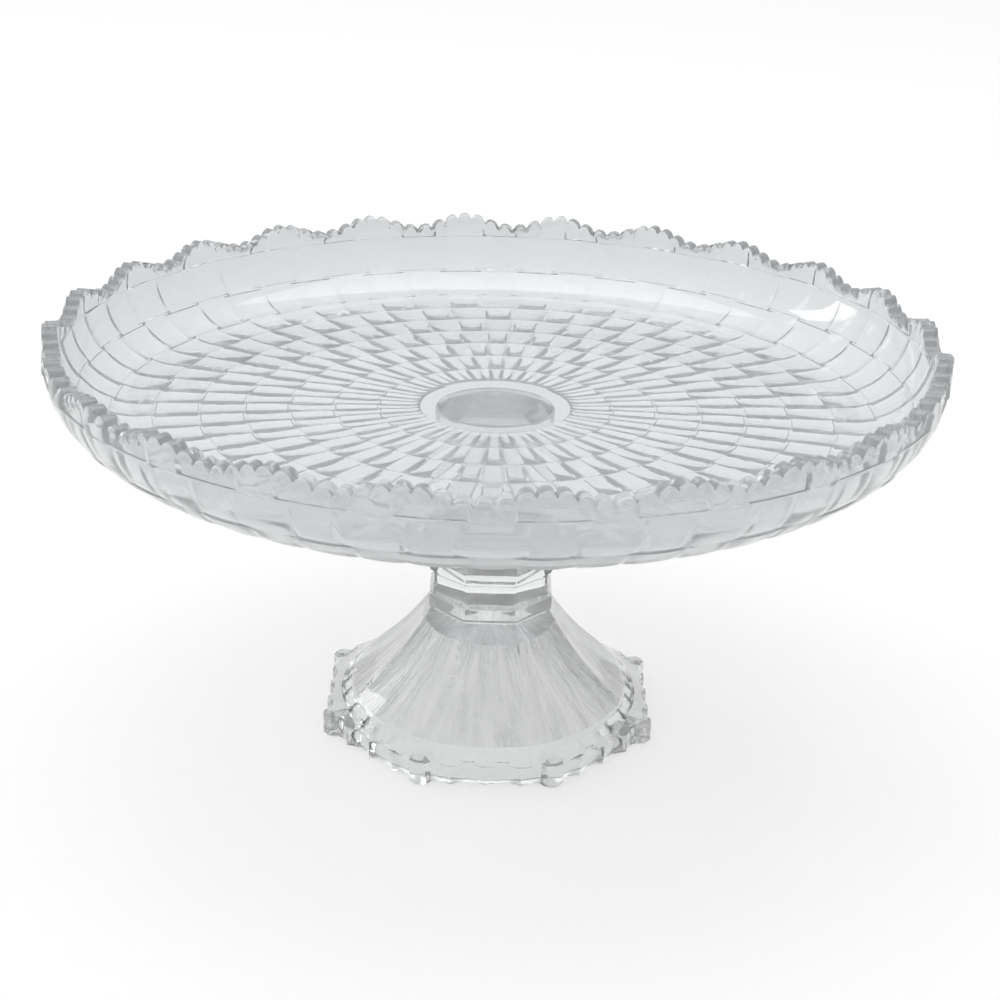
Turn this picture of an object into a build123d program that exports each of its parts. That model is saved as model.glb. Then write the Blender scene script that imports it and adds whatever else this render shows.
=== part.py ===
from build123d import *
from math import cos, pi, sin, sqrt, tan
import os

# A footed cake stand of clear pressed glass. A round plate with a lobed rim stands on an
# eight-sided hollow foot, and a thin film of clear adhesive joins the two.
# Millimetres, +Z up. The origin is the centre of the face that the stand rests on, and one
# flat side of the foot faces -Y.

# Whole stand
stand_height = 145.0        # resting face to the tips of the rim lobes
bond_gap = 0.2              # thickness of the adhesive between foot and plate

# Plate
plate_diameter = 300.0      # across opposite lobe tips
plate_floor = 5.0           # glass thickness of the flat floor
wall_thickness = 5.0        # glass thickness of the upturned wall
wall_bend_radius = 29.5     # outer radius of the round wall
wall_rise = 1.5             # upright part of the wall above the bend
rim_lobes = 24
rim_notch_depth = 4.0       # lobe tip down to the notch beside it
rim_notch_span = 30.0       # width of one notch, shoulder to shoulder
rim_notch_bulge = 1.0       # how far each shoulder curves up from a straight line
plate_turn = -2.0           # degrees that the lobes are turned from the foot's flat side

# Foot: every radius of an eight-sided section is measured to the middle of a flat side
foot_sides = 8
skirt_radius = 57.0
skirt_height = 7.6
foot_rim_width = 7.0        # resting ring, from the hollow's mouth to the skirt
shoulder_width = 4.5        # sloping ledge between the skirt and the flare
shoulder_rise = 2.4
flare_rise = 33.0           # shoulder up to the neck
flare_curve_radius = 95.0   # hollow curve of the flare, seen from the side
neck_radius = 20.9
knop_swell = 0.5            # how far the knop's ridge and collar stand out from the neck
knop_waist_inset = 0.5      # how far the groove between them goes in
knop_ridge_rise = 5.5       # neck up to the ridge
knop_waist_rise = 7.5       # ridge up to the groove
knop_collar_rise = 5.4      # groove up to the collar
knop_close_rise = 2.6       # collar up to the foot of the stem
stem_foot_inset = 1.9       # how far the stem's foot lies inside the neck
stem_waist_inset = 6.4
stem_top_inset = 2.9        # how far the stem's top lies inside the seat
seat_radius = 20.4          # round seat that the plate is bonded to
seat_thickness = 4.0
flutes_per_side = 4
flute_depth = 1.2
corner_bead_radius = 3.6
corner_bead_proud = 0.3     # how far a bead stands out from the skirt's corner
foot_wall = 5.5             # glass thickness under the flare
mouth_step_inset = 2.5      # how far the near-upright part of the hollow leans in
dome_radius = 21.0          # where the hollow closes into a low dome
dome_rise = 3.5

# Adhesive film
film_inset = 0.6            # how far the film stops short of the edge of the seat

plate_depth = wall_bend_radius + wall_rise + wall_thickness / 2
plate_radius = plate_diameter / 2
underside_z = stand_height - plate_depth
seat_z = underside_z - bond_gap
half_side_angle = pi / foot_sides
skirt_corner_radius = skirt_radius / cos(half_side_angle)
flare_foot_radius = skirt_radius - shoulder_width
mouth_radius = skirt_radius - foot_rim_width
shoulder_z = skirt_height + shoulder_rise
neck_z = shoulder_z + flare_rise
ridge_z = neck_z + knop_ridge_rise
waist_z = ridge_z + knop_waist_rise
collar_z = waist_z + knop_collar_rise
stem_foot_z = collar_z + knop_close_rise
cut_margin = 2.0            # how far a cutting tool runs past the glass


def around(count, start=0.0):
    """The angles, in degrees, of count equal steps round the Z axis."""
    return [start + step * 360.0 / count for step in range(count)]


def make_plate():
    bend_r = plate_radius - wall_bend_radius
    bend_z = underside_z + wall_bend_radius
    brim_z = stand_height - wall_thickness / 2
    inner_bend = wall_bend_radius - wall_thickness
    inner_r = plate_radius - wall_thickness
    floor_z = underside_z + plate_floor
    outer_mid = (bend_r + wall_bend_radius * sin(pi / 4), bend_z - wall_bend_radius * cos(pi / 4))
    inner_low = (bend_r, floor_z)
    inner_high = (inner_r, floor_z + inner_bend)
    inner_mid = (bend_r + inner_bend * sin(pi / 4), inner_high[1] - inner_bend * cos(pi / 4))
    section = Polyline((0, floor_z), (0, underside_z), (bend_r, underside_z))
    section += ThreePointArc((bend_r, underside_z), outer_mid, (plate_radius, bend_z))
    section += Line((plate_radius, bend_z), (plate_radius, brim_z))
    rim_top = (plate_radius - wall_thickness / 2, stand_height)
    section += ThreePointArc((plate_radius, brim_z), rim_top, (inner_r, brim_z))
    section += Line((inner_r, brim_z), inner_high)
    section += ThreePointArc(inner_high, inner_mid, inner_low)
    section += Line(inner_low, (0, floor_z))
    blank = revolve(Plane.XZ * make_face(section), Axis.Z)
    return Rot(0, 0, plate_turn) * cut_rim_notches(blank)


def cut_rim_notches(blank):
    half = rim_notch_span / 2
    top = stand_height + rim_notch_bulge
    low = stand_height - rim_notch_depth
    mid_z = (top + low) / 2 + rim_notch_bulge
    notch = ThreePointArc((-half, top), (-half / 2, mid_z), (0, low))
    notch += ThreePointArc((0, low), (half / 2, mid_z), (half, top))
    notch += Line((half, top), (-half, top))
    reach = wall_thickness + 2 * cut_margin
    tool = extrude(Plane.XZ.offset(plate_radius - reach + cut_margin) * make_face(notch), reach)
    return blank - [Rot(0, 0, turn) * tool for turn in around(rim_lobes)]


def flare_centre():
    """Centre of the circle that the flare's hollow curve follows, outside the glass."""
    run = neck_radius - flare_foot_radius
    rise = neck_z - shoulder_z
    chord = sqrt(run * run + rise * rise)
    away = sqrt(flare_curve_radius ** 2 - chord ** 2 / 4)
    middle_r = (neck_radius + flare_foot_radius) / 2
    middle_z = (neck_z + shoulder_z) / 2
    return middle_r + away * rise / chord, middle_z - away * run / chord


def flare_point(radius, curve_radius):
    """Point of a circle about the flare's centre at a given distance from the Z axis."""
    centre_r, centre_z = flare_centre()
    return radius, centre_z - sqrt(curve_radius ** 2 - (centre_r - radius) ** 2)


def make_foot_column():
    """The foot's outside: one side profile, extruded across and crossed with its turned copies."""
    stem_top_z = seat_z - seat_thickness / 2
    flare_low = (flare_foot_radius, shoulder_z)
    flare_mid = flare_point((flare_foot_radius + neck_radius) / 2, flare_curve_radius)
    neck = (neck_radius, neck_z)
    ridge = (neck_radius + knop_swell, ridge_z)
    waist = (neck_radius - knop_waist_inset, waist_z)
    collar = (neck_radius + knop_swell, collar_z)
    stem_low = (neck_radius - stem_foot_inset, stem_foot_z)
    stem_mid = (neck_radius - stem_waist_inset, (stem_foot_z + stem_top_z) / 2)
    stem_high = (seat_radius - stem_top_inset, stem_top_z)
    profile = Polyline((0, stem_top_z), (0, 0), (skirt_radius, 0), (skirt_radius, skirt_height), flare_low)
    profile += ThreePointArc(flare_low, flare_mid, neck)
    profile += Polyline(neck, ridge, waist, collar, stem_low)
    profile += ThreePointArc(stem_low, stem_mid, stem_high)
    profile += Line(stem_high, (0, stem_top_z))
    half = Plane.XZ * make_face(profile)
    across = extrude(half + mirror(half, Plane.YZ), 2 * skirt_radius, both=True)
    column = across
    for turn in around(foot_sides)[1:foot_sides // 2]:
        column = column & (Rot(0, 0, turn) * across)
    return column


def flute_tools():
    """Upright cylinders that scoop the flutes out of each flat side of the skirt."""
    width = 2 * skirt_radius * tan(half_side_angle) / flutes_per_side
    scoop = (width ** 2 / 4 + flute_depth ** 2) / (2 * flute_depth)
    height = shoulder_z + 2 * cut_margin
    tool = Cylinder(scoop, height)
    tools = []
    for turn in around(foot_sides):
        for step in range(flutes_per_side):
            along = (step - (flutes_per_side - 1) / 2) * width
            place = Pos(along, -(skirt_radius + scoop - flute_depth), shoulder_z / 2)
            tools.append(Rot(0, 0, turn) * place * tool)
    return tools


def corner_beads():
    """Upright round beads, closed by a dome, at the corners of the skirt."""
    bead = Pos(0, 0, skirt_height / 2) * Cylinder(corner_bead_radius, skirt_height)
    bead += Pos(0, 0, skirt_height) * Sphere(corner_bead_radius)
    place = Pos(0, -(skirt_corner_radius + corner_bead_proud - corner_bead_radius), 0)
    first_corner = 180.0 / foot_sides
    return [Rot(0, 0, turn) * place * bead for turn in around(foot_sides, first_corner)]


def make_hollow():
    """The plunger's print under the foot, round in plan and closed by a low dome."""
    step_r = mouth_radius - mouth_step_inset
    inner_curve = flare_curve_radius + foot_wall
    low = flare_point(step_r, inner_curve)
    mid = flare_point((step_r + dome_radius) / 2, inner_curve)
    high = flare_point(dome_radius, inner_curve)
    crown = (0, high[1] + dome_rise)
    dome_curve = (dome_radius ** 2 + dome_rise ** 2) / (2 * dome_rise)
    dome_mid_r = dome_radius / 2
    dome_mid = (dome_mid_r, crown[1] - dome_curve + sqrt(dome_curve ** 2 - dome_mid_r ** 2))
    section = Polyline(crown, (0, -cut_margin), (mouth_radius, -cut_margin), (mouth_radius, 0), low)
    section += ThreePointArc(low, mid, high)
    section += ThreePointArc(high, dome_mid, crown)
    return revolve(Plane.XZ * make_face(section), Axis.Z)


def make_foot():
    foot = make_foot_column() - flute_tools()
    foot += corner_beads()
    foot += Pos(0, 0, seat_z - seat_thickness / 2) * Cylinder(seat_radius, seat_thickness)
    return foot - make_hollow()


def make_bond_film():
    film_radius = seat_radius - film_inset
    return Pos(0, 0, seat_z + bond_gap / 2) * Cylinder(film_radius, bond_gap)


os.makedirs("parts", exist_ok=True)
export_step(make_plate(), "parts/plate.step")
export_step(make_foot(), "parts/foot.step")
export_step(make_bond_film(), "parts/bond_film.step")
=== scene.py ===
import bmesh
import bpy
from math import atan, atan2, cos, degrees, hypot, pi, radians, sin, sqrt, tan
from mathutils import Matrix, Vector


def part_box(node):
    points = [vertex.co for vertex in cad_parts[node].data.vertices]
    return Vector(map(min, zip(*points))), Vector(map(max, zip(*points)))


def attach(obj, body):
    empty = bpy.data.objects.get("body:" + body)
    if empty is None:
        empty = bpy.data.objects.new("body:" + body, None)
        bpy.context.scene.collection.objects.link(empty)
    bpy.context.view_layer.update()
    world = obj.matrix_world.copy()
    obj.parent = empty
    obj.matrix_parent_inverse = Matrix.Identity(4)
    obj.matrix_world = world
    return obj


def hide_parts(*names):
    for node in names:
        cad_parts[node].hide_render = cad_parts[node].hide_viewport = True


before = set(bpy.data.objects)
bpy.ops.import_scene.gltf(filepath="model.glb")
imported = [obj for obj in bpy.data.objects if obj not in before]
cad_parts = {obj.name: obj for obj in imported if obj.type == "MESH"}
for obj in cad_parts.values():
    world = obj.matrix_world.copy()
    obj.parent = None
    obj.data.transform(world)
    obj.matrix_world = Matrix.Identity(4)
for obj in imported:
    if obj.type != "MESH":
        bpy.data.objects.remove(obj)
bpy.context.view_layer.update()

MM = 0.001
PLATE_LOW, PLATE_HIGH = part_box("plate")
FOOT_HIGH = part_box("foot")[1]
FILM_LOW, FILM_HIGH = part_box("bond_film")
WELD_DISTANCE = 0.004 * MM

# ---------------------------------------------------------------- sizes of the plate
RIM_TOP = PLATE_HIGH.z
UNDERSIDE = PLATE_LOW.z
PLATE_RADIUS = PLATE_HIGH.x
PLATE_TURN = radians(-2.0)
WEAVE_TURN = radians(-0.1)
FLOOR_THICKNESS = 5.0 * MM
WALL_THICKNESS = 5.0 * MM
BEND_RADIUS = 29.5 * MM
BEND_START = PLATE_RADIUS - BEND_RADIUS
BEND_TOP = UNDERSIDE + BEND_RADIUS

STRANDS = 28
RELIEF = 1.15 * MM
FLOOR_RELIEF_SHARE = 0.9
STRAND_RISE_ON_WALL = 0.95 * MM
RING_PITCH = 15.04 * MM
FIRST_RING = 32.1 * MM
RING_COUNT = 9
BOSS_RADIUS = 25.6 * MM
BAND_HALF_WIDTH = 6.95 * MM
STRAND_HALF_LENGTH = RING_PITCH - BAND_HALF_WIDTH
WEAVE_END = FIRST_RING + (RING_COUNT - 1) * RING_PITCH + BAND_HALF_WIDTH + 0.3 * MM

# Angles in degrees; the ring steps are in millimetres from the middle of a ring.
SECTOR = 360.0 / STRANDS
STRAND_HALF_ANGLE = 2.43
COLUMN_STEPS = [0, 1.2, 2.0, 2.3, 2.56]
RING_STEPS = [0, 2.5, 4.7, 6.1, 6.85, 7.15]

# Shares of the relief that a strand loses towards its ends and its long edges.
STRAND_END_DROP, STRAND_EDGE_DROP = 0.62, 0.22
BAND_END_DROP, BAND_EDGE_DROP = 0.6, 0.12
# Share of the relief by which the last row, under the rim, is sunk.
LAST_ROW_SHARE = 0.35

LOBES = 24
LOBE_ANGLE = 360.0 / LOBES
TEETH_PER_LOBE = 7
TOOTH_COLUMNS = 6
TOOTH_ROUNDING = 0.6
TOOTH_DEPTH = 2.1 * MM
LOBE_DROP = 4.0 * MM
LOBE_INSET = 2.0 * MM
RIM_BASE = RIM_TOP - 9.2 * MM

# ---------------------------------------------------------------- sizes of the foot
SIDES = 8
SKIRT = 57.0 * MM
SKIRT_TOP = 7.6 * MM
SIDE_HALF = SKIRT * tan(pi / SIDES)
FLUTES = 4
FLUTE_DEPTH = 2.0 * MM
BEAD_RADIUS = 3.6 * MM
BEAD_CENTRE = 58.4 * MM
BEAD_RISE = 1.9 * MM
FLARE_LOW = (52.5 * MM, 10.0 * MM)
NECK = (20.9 * MM, 43.0 * MM)
FLARE_CURVE = 95.0 * MM
FOOT_WALL = 5.5 * MM
# Degrees from the middle of a side at which the ridge between two sides starts to be eased.
RIDGE_EASE = 21.75

# ---------------------------------------------------------------- modelling helpers


def clear_selection():
    if bpy.context.mode != "OBJECT":
        bpy.ops.object.mode_set(mode="OBJECT")
    bpy.ops.object.select_all(action="DESELECT")


def edit(piece):
    """Opens one piece in edit mode, with nothing selected in it."""
    clear_selection()
    piece.select_set(True)
    bpy.context.view_layer.objects.active = piece
    bpy.ops.object.mode_set(mode="EDIT")
    bpy.ops.mesh.select_mode(type="VERT")
    bpy.ops.mesh.select_all(action="DESELECT")


def close_edit():
    bpy.ops.object.mode_set(mode="OBJECT")


def turn_selected(angle):
    """Turns what is selected about the upright axis, counter-clockwise seen from above."""
    bpy.ops.transform.rotate(value=-angle, orient_axis="Z", center_override=(0, 0, 0))


def draw_profile(name, points):
    """A chain of edges through (radius, height) points, drawn by extruding one vertex."""
    clear_selection()
    bpy.ops.mesh.primitive_plane_add(size=MM, location=(0, 0, 0))
    piece = bpy.context.object
    piece.name = name
    piece.data.name = name
    bpy.ops.object.mode_set(mode="EDIT")
    bpy.ops.mesh.select_mode(type="VERT")
    bpy.ops.mesh.select_all(action="SELECT")
    bpy.ops.mesh.merge(type="CENTER")
    here = Vector((points[0][0], 0, points[0][1]))
    bpy.ops.transform.translate(value=here)
    for radius, height in points[1:]:
        there = Vector((radius, 0, height))
        bpy.ops.mesh.extrude_region_move(TRANSFORM_OT_translate={"value": there - here})
        here = there
    bpy.ops.mesh.select_all(action="SELECT")
    return piece


def place_of(vertex):
    """Distance from the axis, angle about it in degrees, and height."""
    return hypot(vertex.x, vertex.y), degrees(atan2(vertex.y, vertex.x)), vertex.z


def spin_sector(angles):
    """Turns the selected profile to the last angle and spins it back through the others."""
    turn_selected(radians(angles[-1]))
    for low, high in reversed(list(zip(angles, angles[1:]))):
        bpy.ops.mesh.spin(steps=1, angle=radians(high - low), center=(0, 0, 0), axis=(0, 0, 1))
    close_edit()


def settle(piece, wanted):
    """Moves each row of vertices to the radius and height that wanted gives for its place.

    Vertices that go the same way move together, scaled about the axis and then lifted.
    """
    edit(piece)
    mesh = bmesh.from_edit_mesh(piece.data)
    groups = {}
    for vertex in mesh.verts:
        radius, angle, height = place_of(vertex.co)
        if radius < 0.01 * MM:
            continue
        new_radius, new_height = wanted(radius, angle, height)
        key = (round(new_radius / radius, 6), round(new_height - height, 8))
        if key != (1.0, 0.0):
            groups.setdefault(key, []).append(vertex.index)
    for (scale, rise), members in groups.items():
        mesh = bmesh.from_edit_mesh(piece.data)
        mesh.verts.ensure_lookup_table()
        for index in members:
            mesh.verts[index].select = True
        if scale != 1.0:
            bpy.ops.transform.resize(value=(scale, scale, 1), center_override=(0, 0, 0))
        if rise != 0.0:
            bpy.ops.transform.translate(value=(0, 0, rise))
        for index in members:
            mesh.verts[index].select = False
    close_edit()


def repeat_round(piece, count):
    """Copies one sector all the way round the axis and welds it into one skin."""
    edit(piece)
    bpy.ops.mesh.select_all(action="SELECT")
    sweep = 2 * pi * (count - 1) / count
    bpy.ops.mesh.spin(steps=count - 1, dupli=True, angle=sweep, center=(0, 0, 0), axis=(0, 0, 1))
    bpy.ops.mesh.select_all(action="SELECT")
    bpy.ops.mesh.remove_doubles(threshold=WELD_DISTANCE)
    close_edit()


def join(pieces, name):
    clear_selection()
    for piece in pieces:
        piece.select_set(True)
    bpy.context.view_layer.objects.active = pieces[0]
    bpy.ops.object.join()
    joined = bpy.context.object
    joined.name = name
    joined.data.name = name
    return joined


def bridge_open_rows(piece, test):
    """Joins two open rows of edges. test says, from a vertex's place, whether it is on either row."""
    edit(piece)
    bpy.ops.mesh.select_mode(type="EDGE")
    mesh = bmesh.from_edit_mesh(piece.data)
    for line in mesh.edges:
        if len(line.link_faces) == 1 and all(test(*place_of(v.co)) for v in line.verts):
            line.select_set(True)
    bmesh.update_edit_mesh(piece.data)
    bpy.ops.mesh.bridge_edge_loops()
    close_edit()


def weld_and_face_out(piece):
    edit(piece)
    bpy.ops.mesh.select_all(action="SELECT")
    bpy.ops.mesh.remove_doubles(threshold=WELD_DISTANCE)
    bpy.ops.mesh.normals_make_consistent(inside=False)
    close_edit()


def turn_mesh(piece, angle):
    edit(piece)
    bpy.ops.mesh.select_all(action="SELECT")
    turn_selected(angle)
    close_edit()


def finish_piece(piece, sharp_angle, cad_node):
    clear_selection()
    piece.select_set(True)
    bpy.context.view_layer.objects.active = piece
    bpy.ops.object.shade_smooth_by_angle(angle=radians(sharp_angle))
    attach(piece, "root")
    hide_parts(cad_node)


# ---------------------------------------------------------------- plate


def skin_point(along, depth):
    """Point of the outer skin at a distance along it from the axis, sunk by depth into the glass."""
    if along <= BEND_START:
        return along, UNDERSIDE + depth
    swing = (along - BEND_START) / (BEND_RADIUS - RELIEF)
    reach = BEND_RADIUS - depth
    if swing <= pi / 2:
        return BEND_START + reach * sin(swing), BEND_TOP - reach * cos(swing)
    return BEND_START + reach, BEND_TOP + (swing - pi / 2) * (BEND_RADIUS - RELIEF)


def skin_distance(radius, height):
    """How far along the outer skin a point lies, measured from the axis."""
    if radius <= BEND_START:
        return radius
    swing = atan2(radius - BEND_START, BEND_TOP - height)
    return BEND_START + swing * (BEND_RADIUS - RELIEF)


def weave_rows():
    """Distances along the skin of the rows of vertices under the weave."""
    rows = []
    for ring in range(RING_COUNT):
        middle = FIRST_RING + ring * RING_PITCH
        for step in [-step for step in reversed(RING_STEPS[1:])] + RING_STEPS:
            rows.append(middle + step * MM)
        rows.append(middle + RING_PITCH / 2)
    return [row for row in rows if BOSS_RADIUS + 1.2 * MM < row < WEAVE_END - 0.2 * MM]


def weave_columns():
    """Angles of the columns across one strand's sector."""
    half = COLUMN_STEPS + [SECTOR / 4] + [SECTOR / 2 - step for step in reversed(COLUMN_STEPS)]
    return [-angle for angle in reversed(half[1:])] + half


def pillow(offset, aside):
    """Share of the relief's height of a radial strand, barrelled both ways, or 0 beside it."""
    if abs(offset) > STRAND_HALF_LENGTH or abs(aside) > STRAND_HALF_ANGLE:
        return 0.0
    lengthways = 1 - STRAND_END_DROP * (offset / STRAND_HALF_LENGTH) ** 2
    return lengthways * (1 - STRAND_EDGE_DROP * (aside / STRAND_HALF_ANGLE) ** 2)


def bolster(offset, aside):
    """Share of the relief's height of a cross strand, which dives under the radial ones."""
    reach = SECTOR / 2 - STRAND_HALF_ANGLE
    across = (SECTOR / 2 - abs(aside)) / reach
    if abs(offset) > BAND_HALF_WIDTH or across > 1:
        return 0.0
    return (1 - BAND_END_DROP * across ** 2) * (1 - BAND_EDGE_DROP * (offset / BAND_HALF_WIDTH) ** 2)


def weave_height(along, angle):
    """Share of the relief's height at a place: the highest of the strands that pass over it."""
    nearest = int(round((along - FIRST_RING) / RING_PITCH))
    height = 0.0
    for ring in (nearest - 1, nearest, nearest + 1):
        if not 0 <= ring < RING_COUNT:
            continue
        offset = along - FIRST_RING - ring * RING_PITCH
        turned = angle + (0.0 if ring % 2 else SECTOR / 2)
        aside = (turned + SECTOR / 2) % SECTOR - SECTOR / 2
        height = max(height, pillow(offset, aside), bolster(offset, aside))
    return height


def relief_share(along):
    """The relief is shallow under the floor and reaches its full depth round the bend."""
    climb = (along - 0.88 * BEND_START) / (0.2 * BEND_START)
    return FLOOR_RELIEF_SHARE + (1 - FLOOR_RELIEF_SHARE) * max(0.0, min(1.0, climb))


def make_weave():
    """The whole outer skin under the weave, from the plain boss up to the rim."""
    points = [(0.0, UNDERSIDE), (6 * MM, UNDERSIDE), (20.4 * MM, UNDERSIDE), (BOSS_RADIUS, UNDERSIDE)]
    points += [skin_point(BOSS_RADIUS + 0.5 * MM, RELIEF * FLOOR_RELIEF_SHARE)]
    points += [skin_point(row, RELIEF) for row in weave_rows()]
    points += [skin_point(WEAVE_END, RELIEF * LAST_ROW_SHARE)]
    weave = draw_profile("plate_weave", points)
    spin_sector(weave_columns())

    def pressed(radius, angle, height):
        if radius < BOSS_RADIUS + 0.6 * MM:
            return radius, height
        along = skin_distance(radius, height)
        if along > WEAVE_END - 0.1 * MM:
            return radius, height
        return skin_point(along, RELIEF * relief_share(along) * (1 - weave_height(along, angle)))

    settle(weave, pressed)
    repeat_round(weave, STRANDS)
    turn_mesh(weave, WEAVE_TURN - pi / 2)
    return weave


def bend_radius_at(height, reach):
    return BEND_START + sqrt(reach ** 2 - (BEND_TOP - height) ** 2)


def lobe_dip(angle):
    """How far down its lobe a place on the rim is: 0 at a lobe's crest, 1 between two lobes."""
    place = (angle + LOBE_ANGLE / 2) % LOBE_ANGLE - LOBE_ANGLE / 2
    return 0.5 - 0.5 * cos(2 * pi * place / LOBE_ANGLE)


def rim_edge(angle):
    """Height of the toothed edge at an angle measured from the crest of a lobe."""
    tooth = (angle + LOBE_ANGLE / 2) / LOBE_ANGLE * TEETH_PER_LOBE
    crest = abs(sin(pi * tooth)) ** TOOTH_ROUNDING
    return RIM_TOP - LOBE_DROP * lobe_dip(angle) - TOOTH_DEPTH * (1 - crest)


def make_rim():
    """The scalloped rim with its radial teeth, from the last strands outside over to the inner wall."""
    wall = PLATE_RADIUS
    inner = PLATE_RADIUS - WALL_THICKNESS
    top = RIM_TOP
    bend = BEND_RADIUS - WALL_THICKNESS
    points = [(bend_radius_at(RIM_BASE, BEND_RADIUS), RIM_BASE)]
    points += [(wall - 0.07 * MM, top - 6.0 * MM), (wall, top - 3.5 * MM), (wall, top - 1.6 * MM)]
    points += [(wall, top - 0.3 * MM), (wall - 0.07 * MM, top - 0.08 * MM), (wall - 0.25 * MM, top)]
    points += [(wall - 2.5 * MM, top), (inner + 0.25 * MM, top), (inner + 0.05 * MM, top - 0.1 * MM)]
    points += [(inner, top - 0.8 * MM), (inner, top - 3.5 * MM), (inner - 0.07 * MM, top - 6.0 * MM)]
    points += [(bend_radius_at(RIM_BASE, bend), RIM_BASE)]
    rim = draw_profile("plate_rim", points)
    columns = TEETH_PER_LOBE * TOOTH_COLUMNS
    spin_sector([LOBE_ANGLE * (column / columns - 0.5) for column in range(columns + 1)])

    def scalloped(radius, angle, height):
        share = max(0.0, (height - RIM_BASE) / (RIM_TOP - RIM_BASE))
        inset = LOBE_INSET * lobe_dip(angle) * share ** 1.5
        return radius - inset, RIM_BASE + share * (rim_edge(angle) - RIM_BASE)

    settle(rim, scalloped)
    repeat_round(rim, LOBES)
    to_weave = degrees(PLATE_TURN - WEAVE_TURN) + LOBE_ANGLE / 2

    def between_strands(radius, angle, height):
        """Sinks the wall beside the last ring's strands, which run up to the teeth."""
        share = (height - RIM_BASE) / (rim_edge(angle) - RIM_BASE)
        aside = (angle + to_weave + SECTOR / 2) % SECTOR - SECTOR / 2
        if radius < wall - 2.4 * MM or share > 0.75 or abs(aside) < STRAND_HALF_ANGLE:
            return radius, height
        return radius * (1 - STRAND_RISE_ON_WALL / PLATE_RADIUS), height

    settle(rim, between_strands)
    turn_mesh(rim, PLATE_TURN - pi / 2 + pi / LOBES)
    return rim


def make_inner_skin():
    """The smooth upper side: wall, bend and floor."""
    bend = BEND_RADIUS - WALL_THICKNESS
    floor = UNDERSIDE + FLOOR_THICKNESS
    points = []
    steps = 12
    for step in range(steps + 1):
        swing = pi / 2 * (1 - step / steps)
        height = floor + bend * (1 - cos(swing))
        if height < RIM_BASE - 0.5 * MM:
            points.append((BEND_START + bend * sin(swing), height))
    points += [(radius * MM, floor) for radius in (100, 70, 40, 15, 3, 0)]
    skin = draw_profile("plate_inside", points)
    columns = 14
    spin_sector([LOBE_ANGLE * column / columns for column in range(columns + 1)])
    repeat_round(skin, LOBES)
    return skin


def make_plate(material):
    plate = join([make_weave(), make_rim(), make_inner_skin()], "glass_plate")
    middle = PLATE_RADIUS - WALL_THICKNESS * 0.6
    low, high = RIM_BASE - 3 * MM, RIM_BASE + 0.1 * MM
    bridge_open_rows(plate, lambda radius, angle, height: radius > middle and low < height < high)
    bridge_open_rows(plate, lambda radius, angle, height: radius < middle and low < height < high)
    weld_and_face_out(plate)
    plate.data.materials.append(material)
    finish_piece(plate, 45, "plate")
    return plate


# ---------------------------------------------------------------- foot


def flare_centre():
    """Centre of the arc that hollows the flare between the skirt's shoulder and the neck."""
    run = NECK[0] - FLARE_LOW[0]
    rise = NECK[1] - FLARE_LOW[1]
    chord = hypot(run, rise)
    away = sqrt(FLARE_CURVE ** 2 - chord ** 2 / 4)
    middle_radius = (NECK[0] + FLARE_LOW[0]) / 2
    middle_height = (NECK[1] + FLARE_LOW[1]) / 2
    return middle_radius + away * rise / chord, middle_height - away * run / chord


def flare_height(radius, curve):
    """Height at a radius of an arc about the flare's centre, curve away from it."""
    centre_r, centre_z = flare_centre()
    return centre_z - sqrt(curve ** 2 - (centre_r - radius) ** 2)


def hollow_rows():
    """The round hollow under the foot, from its crown down to the mouth."""
    rows = [(0.0, 36.0), (2.5, 35.95), (5.0, 35.75), (8.0, 35.35), (11.0, 34.9), (14.0, 34.6), (17.0, 34.2)]
    rows = [(radius * MM, height * MM) for radius, height in rows]
    for radius in (20.0, 22.0, 24.5, 27.5, 31.0, 35.0, 39.0, 43.0):
        rows.append((radius * MM, flare_height(radius * MM, FLARE_CURVE + FOOT_WALL)))
    mouth = ((46.2, 7.6), (47.1, 7.0), (47.5, 6.3), (48.7, 3.2), (49.8, 0.6), (50.3, 0.0))
    return rows + [(radius * MM, height * MM) for radius, height in mouth]


def outer_rows():
    """Distance to a flat side and height, from the resting edge up to the seat."""
    rows = [(53.0, 0.0), (56.1, 0.0), (56.8, 0.4), (57.0, 1.0), (57.0, 2.6), (57.0, 4.0), (57.0, 5.0)]
    rows += [(57.0, 5.8), (57.0, 6.5), (57.0, 7.1), (56.9, 7.6), (56.3, 8.0), (55.4, 8.5), (54.4, 9.0)]
    rows += [(53.5, 9.5), (52.9, 9.85)]
    rows = [(radius * MM, height * MM) for radius, height in rows]
    steps = 16
    for step in range(steps + 1):
        radius = FLARE_LOW[0] + (NECK[0] - FLARE_LOW[0]) * step / steps
        rows.append((radius, flare_height(radius, FLARE_CURVE)))
    knop = [(21.2, 43.4), (21.45, 44.1), (21.5, 44.8), (21.5, 47.6), (21.4, 48.3), (21.0, 48.9)]
    knop += [(20.2, 49.7), (20.0, 50.4), (20.0, 56.0), (20.2, 56.8), (21.1, 57.6), (21.4, 58.3)]
    knop += [(21.4, 60.9), (21.3, 61.4), (21.0, 61.9), (19.3, 63.8), (18.9, 64.5)]
    rows += [(radius * MM, height * MM) for radius, height in knop]
    stem = [(17.9, 67), (16.4, 71), (15.2, 76), (14.6, 82), (14.5, 87), (14.8, 93), (15.6, 99), (16.8, 104)]
    stem += [(17.5, 106.6), (18.2, 107.2), (20.1, 107.4), (20.4, 107.8), (20.4, 110.9)]
    rows += [(radius * MM, height * MM) for radius, height in stem]
    top = FOOT_HIGH.z
    return rows + [(20.1 * MM, top), (12 * MM, top), (4 * MM, top), (0.0, top)]


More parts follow.
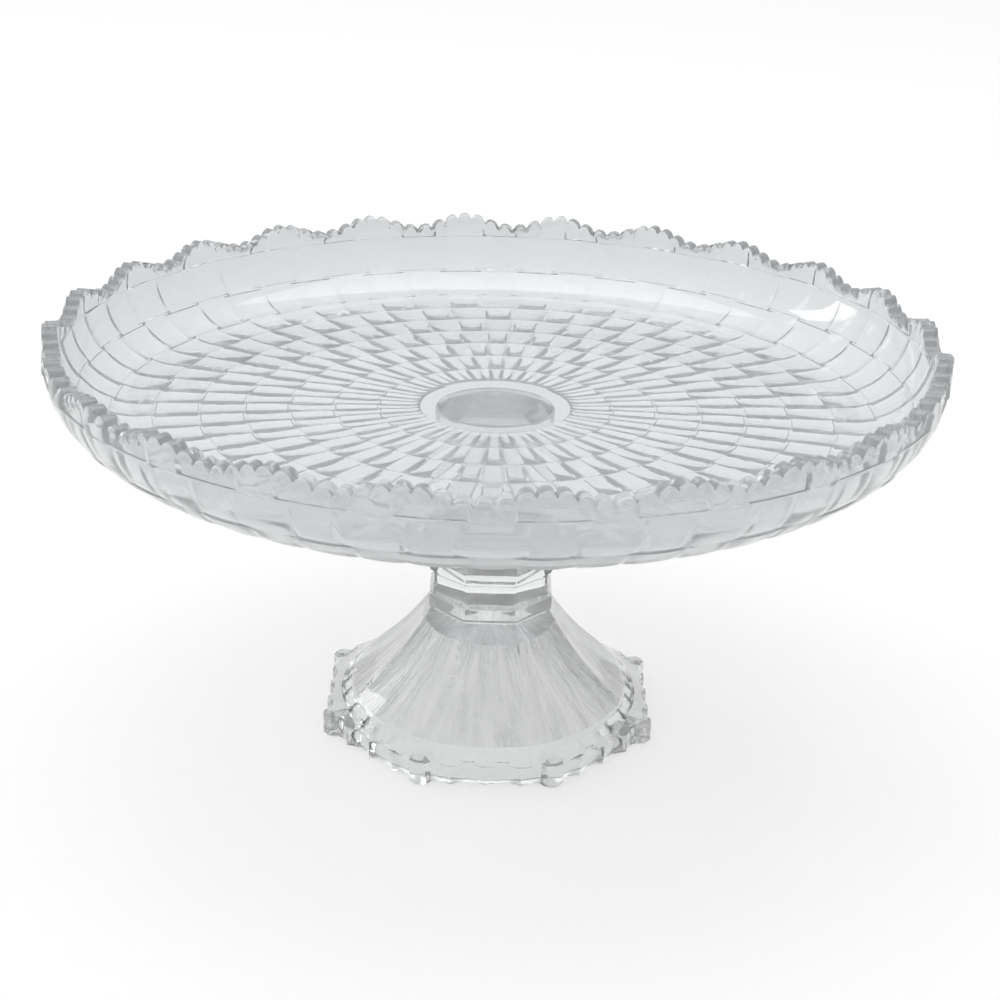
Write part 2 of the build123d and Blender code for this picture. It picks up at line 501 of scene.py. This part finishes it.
def roundness(height):
    """1 where the section is a circle, 0 where it is an octagon."""
    z = height / MM
    if z < 9.9:
        return max(0.0, min(1.0, (z - 7.6) / 2.3))
    if z < 30:
        return max(0.0, 1 - (z - 9.9) / 13.0) ** 1.6
    return max(0.0, min(1.0, (z - 92) / 14))


def side_columns():
    """Angles of the columns across one side, closer together at the corner beads."""
    half = [0, 2, 3.95, 5.9, 7.85, 9.8, 11.8, 13.8, 15.7, 17.6, 19.2, 20.0, 20.5, 21.2, 22.0, 22.8]
    half = [degrees(atan(place * MM / SKIRT)) for place in half] + [180.0 / SIDES]
    return [-angle for angle in reversed(half[1:])] + half


def in_hollow(radius, height):
    """Whether a place lies on the round hollow and not on the outer skin."""
    if height > 37 * MM or radius > 51 * MM:
        return False
    return height < flare_height(max(radius, NECK[0]), FLARE_CURVE) - 1 * MM


def moulded(radius, angle, height):
    """Where the mould puts a point of the outer skin that was spun round."""
    if in_hollow(radius, height):
        return radius, height
    turn = radians(abs(angle))
    circle = roundness(height)
    eased_from = radians(RIDGE_EASE)
    corner = 1 / cos(min(turn, eased_from))
    if turn > eased_from:
        corner *= cos(pi / SIDES - eased_from) / cos(pi / SIDES - turn)
    corner = (1 - circle) * corner + circle
    distance = radius
    if radius > 53.5 * MM and height < 9.2 * MM:
        within = (SKIRT * tan(turn) / (2 * SIDE_HALF / FLUTES)) % 1.0 * 2 - 1
        arch = SKIRT_TOP + 0.9 * MM - 2.6 * MM * within ** 2
        fade = max(0.0, min(1.0, (arch - height) / (1.6 * MM)))
        distance = radius - FLUTE_DEPTH * (1 - within ** 2) * sqrt(fade * (2 - fade))
    outward = distance * corner
    from_corner = pi / SIDES - turn
    aside = BEAD_CENTRE * sin(from_corner)
    up = max(0.0, (height - SKIRT_TOP) / BEAD_RISE)
    left = 1 - (aside / BEAD_RADIUS) ** 2 - up ** 2
    if left > 0 and height < 12 * MM and radius > 52 * MM:
        eased = max(0.0, 1.0 - height / (0.7 * MM)) * 0.9 * MM
        bead = BEAD_CENTRE * cos(from_corner) + BEAD_RADIUS * sqrt(left) - eased
        if height > 0.01 * MM or radius > 55 * MM:
            outward = max(outward, bead)
    return outward, height


def make_foot(material, drawn):
    foot = draw_profile("glass_foot", hollow_rows() + outer_rows())
    spin_sector(side_columns())
    settle(foot, moulded)
    repeat_round(foot, SIDES)
    weld_and_face_out(foot)
    turn_mesh(foot, -pi / 2)
    foot.data.materials.append(material)
    foot.data.materials.append(drawn)
    edit(foot)
    bpy.ops.mesh.select_mode(type="FACE")
    mesh = bmesh.from_edit_mesh(foot.data)
    for face in mesh.faces:
        radius, angle, height = place_of(face.calc_center_median())
        if radius < 46.5 * MM and height > 6 * MM and in_hollow(radius, height):
            face.select_set(True)
    bmesh.update_edit_mesh(foot.data)
    foot.active_material_index = 1
    bpy.ops.object.material_slot_assign()
    close_edit()
    finish_piece(foot, 24, "foot")
    return foot


# ---------------------------------------------------------------- bond


def make_bond(material):
    """The clear adhesive between seat and plate, a hair into both faces that it wets."""
    radius = FILM_HIGH.x
    wet = 0.02 * MM
    low, high = FILM_LOW.z - wet, FILM_HIGH.z + wet
    middle = (low + high) / 2
    points = [(0.0, low), (radius - 0.15 * MM, low), (radius - 0.04 * MM, low + 0.05 * MM), (radius, middle)]
    points += [(radius - 0.04 * MM, high - 0.05 * MM), (radius - 0.15 * MM, high), (0.0, high)]
    bond = draw_profile("clear_bond", points)
    columns = 12
    spin_sector([360.0 / SIDES * column / columns for column in range(columns + 1)])
    repeat_round(bond, SIDES)
    weld_and_face_out(bond)
    bond.data.materials.append(material)
    finish_piece(bond, 40, "bond_film")
    return bond


# ---------------------------------------------------------------- materials


def node(tree, kind, **values):
    made = tree.nodes.new(kind)
    for name, value in values.items():
        setattr(made, name, value)
    return made


def moulded_ripple():
    """Makes the shader group of the slow ripple and small pits that a mould leaves on glass."""
    tree = bpy.data.node_groups.new("moulded_ripple", "ShaderNodeTree")
    tree.interface.new_socket("Coordinates", in_out="INPUT", socket_type="NodeSocketVector")
    tree.interface.new_socket("Ripple Scale", in_out="INPUT", socket_type="NodeSocketFloat")
    tree.interface.new_socket("Height", in_out="OUTPUT", socket_type="NodeSocketFloat")
    tree.interface.new_socket("Haze", in_out="OUTPUT", socket_type="NodeSocketFloat")
    inside = node(tree, "NodeGroupInput")
    outside = node(tree, "NodeGroupOutput")
    ripple = node(tree, "ShaderNodeTexNoise")
    ripple.inputs["Detail"].default_value = 2.0
    tree.links.new(inside.outputs["Coordinates"], ripple.inputs["Vector"])
    tree.links.new(inside.outputs["Ripple Scale"], ripple.inputs["Scale"])
    fine = node(tree, "ShaderNodeTexNoise")
    fine.inputs["Scale"].default_value = 420.0
    fine.inputs["Detail"].default_value = 3.0
    tree.links.new(inside.outputs["Coordinates"], fine.inputs["Vector"])
    mix = node(tree, "ShaderNodeMath", operation="MULTIPLY_ADD")
    mix.inputs[1].default_value = 0.12
    tree.links.new(fine.outputs["Fac"], mix.inputs[0])
    tree.links.new(ripple.outputs["Fac"], mix.inputs[2])
    tree.links.new(mix.outputs[0], outside.inputs["Height"])
    haze = node(tree, "ShaderNodeMapRange")
    haze.inputs["From Min"].default_value = 0.45
    haze.inputs["From Max"].default_value = 0.75
    tree.links.new(fine.outputs["Fac"], haze.inputs["Value"])
    tree.links.new(haze.outputs["Result"], outside.inputs["Haze"])


def rippled_surface(tree, place, scale):
    """Height and haze of glass that keeps the mould's ripple."""
    mould = node(tree, "ShaderNodeGroup", node_tree=bpy.data.node_groups["moulded_ripple"])
    mould.inputs["Ripple Scale"].default_value = scale
    tree.links.new(place.outputs["Object"], mould.inputs["Coordinates"])
    return mould.outputs["Height"], mould.outputs["Haze"]


def drawn_surface(tree, place, scale):
    """Height and haze of glass with upright streaks, with no seam anywhere round the axis."""
    split = node(tree, "ShaderNodeSeparateXYZ")
    tree.links.new(place.outputs["Object"], split.inputs[0])
    level = node(tree, "ShaderNodeCombineXYZ")
    tree.links.new(split.outputs["X"], level.inputs[0])
    tree.links.new(split.outputs["Y"], level.inputs[1])
    around = node(tree, "ShaderNodeVectorMath", operation="NORMALIZE")
    tree.links.new(level.outputs[0], around.inputs[0])
    tall = node(tree, "ShaderNodeMath", operation="MULTIPLY")
    tall.inputs[1].default_value = 6.0
    tree.links.new(split.outputs["Z"], tall.inputs[0])
    upright = node(tree, "ShaderNodeCombineXYZ")
    tree.links.new(tall.outputs[0], upright.inputs[2])
    line = node(tree, "ShaderNodeVectorMath", operation="ADD")
    tree.links.new(around.outputs[0], line.inputs[0])
    tree.links.new(upright.outputs[0], line.inputs[1])
    marks = node(tree, "ShaderNodeTexNoise")
    marks.inputs["Scale"].default_value = scale
    marks.inputs["Detail"].default_value = 5.0
    marks.inputs["Roughness"].default_value = 0.62
    tree.links.new(line.outputs[0], marks.inputs["Vector"])
    clearer = node(tree, "ShaderNodeMapRange")
    clearer.inputs["From Min"].default_value = 0.38
    clearer.inputs["From Max"].default_value = 0.64
    tree.links.new(marks.outputs["Fac"], clearer.inputs["Value"])
    return marks.outputs["Fac"], clearer.outputs["Result"]


def glass_material(name, tints, surface, scale, bump, rough, clear=1.0):
    """Clear glass or adhesive. tints and rough run from a clean place to a hazy one.

    bump is the strength and the height of the surface's relief; clear is the share of the
    light that passes straight through, the rest being scattered.
    """
    material = bpy.data.materials.new(name)
    material.use_nodes = True
    tree = material.node_tree
    shader = tree.nodes["Principled BSDF"]
    shader.inputs["Transmission Weight"].default_value = clear
    shader.inputs["IOR"].default_value = 1.5
    shader.inputs["Metallic"].default_value = 0.0
    place = node(tree, "ShaderNodeTexCoord")
    height, haze = surface(tree, place, scale)
    lift = node(tree, "ShaderNodeBump")
    lift.inputs["Strength"].default_value = bump[0]
    lift.inputs["Distance"].default_value = bump[1]
    tree.links.new(height, lift.inputs["Height"])
    tree.links.new(lift.outputs["Normal"], shader.inputs["Normal"])
    hue = node(tree, "ShaderNodeMix", data_type="RGBA")
    hue.inputs[6].default_value = (*tints[0], 1)
    hue.inputs[7].default_value = (*tints[1], 1)
    tree.links.new(haze, hue.inputs[0])
    tree.links.new(hue.outputs[2], shader.inputs["Base Color"])
    polish = node(tree, "ShaderNodeMapRange")
    polish.inputs["To Min"].default_value = rough[0]
    polish.inputs["To Max"].default_value = rough[1]
    tree.links.new(haze, polish.inputs["Value"])
    tree.links.new(polish.outputs["Result"], shader.inputs["Roughness"])
    return material


# ---------------------------------------------------------------- stage


def add_camera():
    location = Vector((0, -0.6265, RIM_TOP + 0.1935))
    pitch = radians(22.364)
    yaw = radians(0.224)
    roll = radians(1.56)
    forward = Vector((sin(yaw) * cos(pitch), cos(yaw) * cos(pitch), -sin(pitch)))
    right = forward.cross(Vector((0, 0, 1))).normalized()
    up = right.cross(forward)
    side = right * cos(roll) + up * sin(roll)
    top = up * cos(roll) - right * sin(roll)
    data = bpy.data.cameras.new("camera")
    data.lens = 70.24
    data.sensor_width = 36.0
    data.clip_end = 100
    camera = bpy.data.objects.new("camera", data)
    bpy.context.scene.collection.objects.link(camera)
    turn = Matrix((side, top, -forward)).transposed().to_4x4()
    camera.matrix_world = Matrix.Translation(location) @ turn
    bpy.context.scene.camera = camera


def add_light(name, size, place, target, power):
    data = bpy.data.lights.new(name, "AREA")
    data.shape = "RECTANGLE"
    data.size, data.size_y = size
    data.energy = power
    lamp = bpy.data.objects.new(name, data)
    bpy.context.scene.collection.objects.link(lamp)
    lamp.location = place
    aim = Vector(target) - Vector(place)
    lamp.rotation_euler = aim.to_track_quat("-Z", "Y").to_euler()


def add_stage():
    clear_selection()
    bpy.ops.mesh.primitive_plane_add(size=90, location=(0, 0, 0))
    floor = bpy.context.object
    floor.name = "floor"
    material = bpy.data.materials.new("pale_floor")
    material.use_nodes = True
    shader = material.node_tree.nodes["Principled BSDF"]
    shader.inputs["Base Color"].default_value = (0.42, 0.42, 0.418, 1)
    shader.inputs["Emission Color"].default_value = (1.0, 0.995, 0.985, 1)
    shader.inputs["Emission Strength"].default_value = 0.57
    shader.inputs["Roughness"].default_value = 0.8
    shader.inputs["Specular IOR Level"].default_value = 0.2
    floor.data.materials.append(material)
    world = bpy.data.worlds.new("studio")
    world.use_nodes = True
    bpy.context.scene.world = world
    tree = world.node_tree
    background = tree.nodes["Background"]
    place = node(tree, "ShaderNodeTexCoord")
    split = node(tree, "ShaderNodeSeparateXYZ")
    tree.links.new(place.outputs["Generated"], split.inputs[0])
    ramp = node(tree, "ShaderNodeValToRGB")
    ramp.color_ramp.elements[0].position = 0.0
    ramp.color_ramp.elements[0].color = (0.78, 0.77, 0.76, 1)
    ramp.color_ramp.elements[1].position = 0.75
    ramp.color_ramp.elements[1].color = (0.95, 0.97, 1.0, 1)
    middle = ramp.color_ramp.elements.new(0.3)
    middle.color = (0.72, 0.72, 0.72, 1)
    tree.links.new(split.outputs["Z"], ramp.inputs["Fac"])
    tree.links.new(ramp.outputs["Color"], background.inputs["Color"])
    from_left = node(tree, "ShaderNodeMapRange")
    from_left.inputs["From Min"].default_value = -1.0
    from_left.inputs["To Min"].default_value = 1.08
    from_left.inputs["To Max"].default_value = 0.72
    tree.links.new(split.outputs["X"], from_left.inputs["Value"])
    tree.links.new(from_left.outputs["Result"], background.inputs["Strength"])
    add_light("overhead_softbox", (1.6, 1.2), (0.0, 0.3, 1.7), (0, 0, 0.05), 10)
    add_light("left_window", (0.35, 1.4), (-1.9, 0.9, 0.9), (0, 0, 0.1), 7)
    bpy.context.scene.view_settings.view_transform = "Standard"


add_camera()
add_stage()
moulded_ripple()
plate_glass = glass_material(
    "pressed_plate_glass",
    tints=((0.83, 0.845, 0.85), (0.79, 0.815, 0.825)),
    surface=rippled_surface, scale=55.0, bump=(0.10, 1.0 * MM), rough=(0.03, 0.12), clear=0.79,
)
# Painted light: the foot's glass is tinted lighter than the plate's, to brighten the foot where it looks
# into the shaded hollow beneath it.
foot_glass = glass_material(
    "pressed_foot_glass_painted_lighter",
    tints=((0.90, 0.915, 0.915), (0.85, 0.87, 0.87)),
    surface=rippled_surface, scale=80.0, bump=(0.12, 1.0 * MM), rough=(0.0, 0.03), clear=0.95,
)
# Partly painted light: the clean tint of the hollow's drawn glass is lighter than the plate's, to brighten
# the shaded hollow. The darker, hazier tint along the streaks is the glass's own.
drawn_glass = glass_material(
    "drawn_foot_glass",
    tints=((0.98, 0.98, 0.97), (0.74, 0.75, 0.745)),
    surface=drawn_surface, scale=10.0, bump=(0.6, 1.4 * MM), rough=(0.05, 0.35), clear=0.8,
)
adhesive = glass_material(
    "clear_adhesive",
    tints=((0.97, 0.97, 0.96), (0.95, 0.95, 0.94)),
    surface=rippled_surface, scale=200.0, bump=(0.05, 1.0 * MM), rough=(0.0, 0.04),
)
make_plate(plate_glass)
make_foot(foot_glass, drawn_glass)
make_bond(adhesive)
